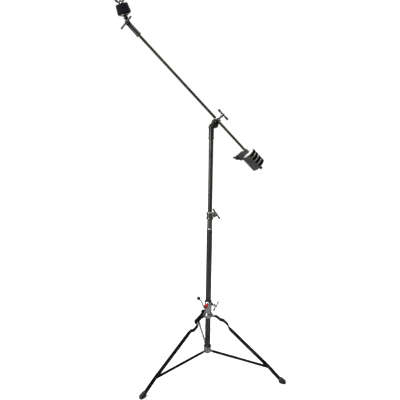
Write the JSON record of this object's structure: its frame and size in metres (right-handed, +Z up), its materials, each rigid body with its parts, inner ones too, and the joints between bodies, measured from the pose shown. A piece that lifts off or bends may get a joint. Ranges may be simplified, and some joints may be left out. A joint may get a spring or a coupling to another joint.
{
  "type": "boom cymbal stand",
  "caption": "Folding tripod stand with a telescoping tube, a tilting boom, a counterweight and a felt-padded post that carries a crash cymbal.",
  "frame": {"origin": "on the stand tube's axis at floor level, midway between the feet", "axes": "+Z up along the stand tube; the boom lies in the XZ plane with its cymbal end towards -X and its counterweight towards +X; the rear leg points along +Y"},
  "size_m": [0.7161, 0.5856, 1.6326],
  "materials": {
    "tube_chrome": "polished chrome plate on steel tube, dark reflections",
    "cast_chrome": "chrome plate on castings",
    "strip_chrome": "chrome plate on pressed strip",
    "screw_chrome": "chrome plate on screws and handles",
    "rod_steel": "drawn rod, satin",
    "black_metal": "black plated",
    "cast_grey": "smooth grey cast metal",
    "rubber": "moulded black rubber",
    "red_plastic": "moulded red nylon",
    "nylon": "natural nylon bush",
    "black_plastic": "black plastic",
    "felt": "pressed wool felt, nearly black"
  },
  "bodies": {
    "base": {"base_tube": "tube_chrome", "tube_plug": "rubber", "tube_ring": "tube_chrome", "brace_hub": "cast_chrome", "hub_pins": "screw_chrome", "height_clamp": "cast_chrome", "clamp_bush": "nylon"},
    "clamp_screw": {"clamp_screw": "screw_chrome"},
    "collar": {"tripod_collar": "cast_chrome", "collar_pins": "screw_chrome", "collar_boss": "cast_chrome", "cam_bush": "red_plastic"},
    "collar_screw": {"collar_screw": "screw_chrome"},
    "cam_lever": {"lever_arm": "screw_chrome", "lever_ball": "black_plastic"},
    "leg_left": {"leg_link_left": "strip_chrome", "leg_strips_left": "strip_chrome", "leg_rivets_left": "screw_chrome", "foot_left": "rubber"},
    "brace_left": {"brace_left": "strip_chrome", "brace_spacers_left": "screw_chrome"},
    "leg_right": {"leg_link_right": "strip_chrome", "leg_strips_right": "strip_chrome", "leg_rivets_right": "screw_chrome", "foot_right": "rubber"},
    "brace_right": {"brace_right": "strip_chrome", "brace_spacers_right": "screw_chrome"},
    "leg_rear": {"leg_link_rear": "strip_chrome", "leg_strips_rear": "strip_chrome", "leg_rivets_rear": "screw_chrome", "foot_rear": "rubber"},
    "brace_rear": {"brace_rear": "strip_chrome", "brace_spacers_rear": "screw_chrome"},
    "upper_tube": {"upper_tube": "tube_chrome"},
    "tilter": {"tilter_socket": "cast_chrome", "socket_ring": "cast_chrome", "tilt_nut": "black_metal"},
    "tilt_screw": {"tilt_screw": "screw_chrome"},
    "boom_clamp": {"boom_clamp": "cast_chrome"},
    "boom_screw": {"boom_screw": "screw_chrome"},
    "boom": {"boom_rod": "rod_steel", "rod_cap": "black_plastic", "head_shank": "cast_chrome", "shank_ring": "cast_chrome"},
    "counterweight": {"weight_discs": "black_metal", "weight_core": "screw_chrome", "weight_cradle": "cast_grey"},
    "weight_screw": {"weight_screw": "black_metal"},
    "head": {"tilter_head": "screw_chrome", "cup_washer": "screw_chrome", "post_sleeve": "black_plastic"},
    "head_screw": {"head_screw": "screw_chrome"},
    "lower_felt": {"lower_felt": "felt"},
    "upper_felt": {"upper_felt": "felt"},
    "wing_nut": {"wing_nut": "screw_chrome"}
  },
  "joints": [
    {"name": "collar_slide", "type": "slide", "parent": "base", "child": "collar", "axis": [0, 0, 1], "range_m": [0, 0.40126]},
    {"name": "collar_screw_turn", "type": "hinge", "parent": "collar", "child": "collar_screw", "pos_m": [0.008, -0.01024, 0.336], "axis": [0.6157, -0.788, 0], "continuous": true},
    {"name": "cam_lever_swing", "type": "hinge", "parent": "collar", "child": "cam_lever", "pos_m": [-0.0196, -0.02271, 0.326], "axis": [-0.6534, -0.757, 0], "range_deg": [-30, 75]},
    {"name": "leg_left_fold", "type": "hinge", "parent": "collar", "child": "leg_left", "pos_m": [-0.02944, -0.017, 0.272], "axis": [0.5, -0.866, 0], "range_deg": [0, 40.32]},
    {"name": "brace_left_fold", "type": "hinge", "parent": "base", "child": "brace_left", "pos_m": [-0.02425, -0.014, 0.08], "axis": [-0.5, 0.866, 0], "range_deg": [0, 75.8]},
    {"name": "leg_right_fold", "type": "hinge", "parent": "collar", "child": "leg_right", "pos_m": [0.02944, -0.017, 0.272], "axis": [0.5, 0.866, 0], "range_deg": [0, 40.32]},
    {"name": "brace_right_fold", "type": "hinge", "parent": "base", "child": "brace_right", "pos_m": [0.02425, -0.014, 0.08], "axis": [-0.5, -0.866, 0], "range_deg": [0, 75.8]},
    {"name": "leg_rear_fold", "type": "hinge", "parent": "collar", "child": "leg_rear", "pos_m": [0, 0.034, 0.272], "axis": [-1, 0, 0], "range_deg": [0, 40.32]},
    {"name": "brace_rear_fold", "type": "hinge", "parent": "base", "child": "brace_rear", "pos_m": [0, 0.028, 0.08], "axis": [1, 0, 0], "range_deg": [0, 75.8]},
    {"name": "clamp_screw_turn", "type": "hinge", "parent": "base", "child": "clamp_screw", "pos_m": [0.01971, -0.01185, 0.768], "axis": [0.515, 0.8572, 0], "continuous": true},
    {"name": "height_slide", "type": "slide", "parent": "base", "child": "upper_tube", "axis": [0, 0, 1], "range_m": [-0.31, 0.2]},
    {"name": "tilter_swivel", "type": "hinge", "parent": "upper_tube", "child": "tilter", "pos_m": [0, 0, 1.12], "axis": [0, 0, 1], "continuous": true},
    {"name": "boom_tilt", "type": "hinge", "parent": "tilter", "child": "boom_clamp", "pos_m": [0.016, 0, 1.17], "axis": [0, -1, 0], "range_deg": [-22, 65]},
    {"name": "tilt_screw_turn", "type": "hinge", "parent": "tilter", "child": "tilt_screw", "pos_m": [0.016, 0, 1.17], "axis": [0, 1, 0], "continuous": true},
    {"name": "boom_slide", "type": "slide", "parent": "boom_clamp", "child": "boom", "axis": [-0.6997, 0, 0.7145], "range_m": [-0.3, 0.03]},
    {"name": "boom_screw_turn", "type": "hinge", "parent": "boom_clamp", "child": "boom_screw", "pos_m": [0.02886, 0, 1.18259], "axis": [0.7145, 0, 0.6997], "continuous": true},
    {"name": "weight_slide", "type": "slide", "parent": "boom", "child": "counterweight", "axis": [-0.6997, 0, 0.7145], "range_m": [-0.003, 0.04]},
    {"name": "weight_screw_turn", "type": "hinge", "parent": "counterweight", "child": "weight_screw", "pos_m": [0.11299, 0, 1.01865], "axis": [0, -1, 0], "continuous": true},
    {"name": "head_tilt", "type": "hinge", "parent": "boom", "child": "head", "pos_m": [-0.33337, 0, 1.54449], "axis": [0.1849, 0.9659, 0.1811], "range_deg": [-45, 55]},
    {"name": "head_screw_turn", "type": "hinge", "parent": "boom", "child": "head_screw", "pos_m": [-0.33337, 0, 1.54449], "axis": [-0.1849, -0.9659, -0.1811], "continuous": true},
    {"name": "lower_felt_turn", "type": "hinge", "parent": "head", "child": "lower_felt", "pos_m": [-0.34521, -0.00464, 1.58135], "axis": [-0.3036, -0.1191, 0.9453], "continuous": true},
    {"name": "upper_felt_turn", "type": "hinge", "parent": "head", "child": "upper_felt", "pos_m": [-0.35067, -0.00679, 1.59837], "axis": [-0.3036, -0.1191, 0.9453], "continuous": true},
    {"name": "wing_nut_turn", "type": "hinge", "parent": "head", "child": "wing_nut", "pos_m": [-0.35492, -0.00846, 1.6116], "axis": [-0.3036, -0.1191, 0.9453], "continuous": true}
  ],
  "couplings": [
    {"joint": "leg_left_fold", "follows": "collar_slide", "rad_per_m": 1.7539},
    {"joint": "brace_left_fold", "follows": "collar_slide", "rad_per_m": 3.2972},
    {"joint": "leg_right_fold", "follows": "collar_slide", "rad_per_m": 1.7539},
    {"joint": "brace_right_fold", "follows": "collar_slide", "rad_per_m": 3.2972},
    {"joint": "leg_rear_fold", "follows": "collar_slide", "rad_per_m": 1.7539},
    {"joint": "brace_rear_fold", "follows": "collar_slide", "rad_per_m": 3.2972}
  ]
}
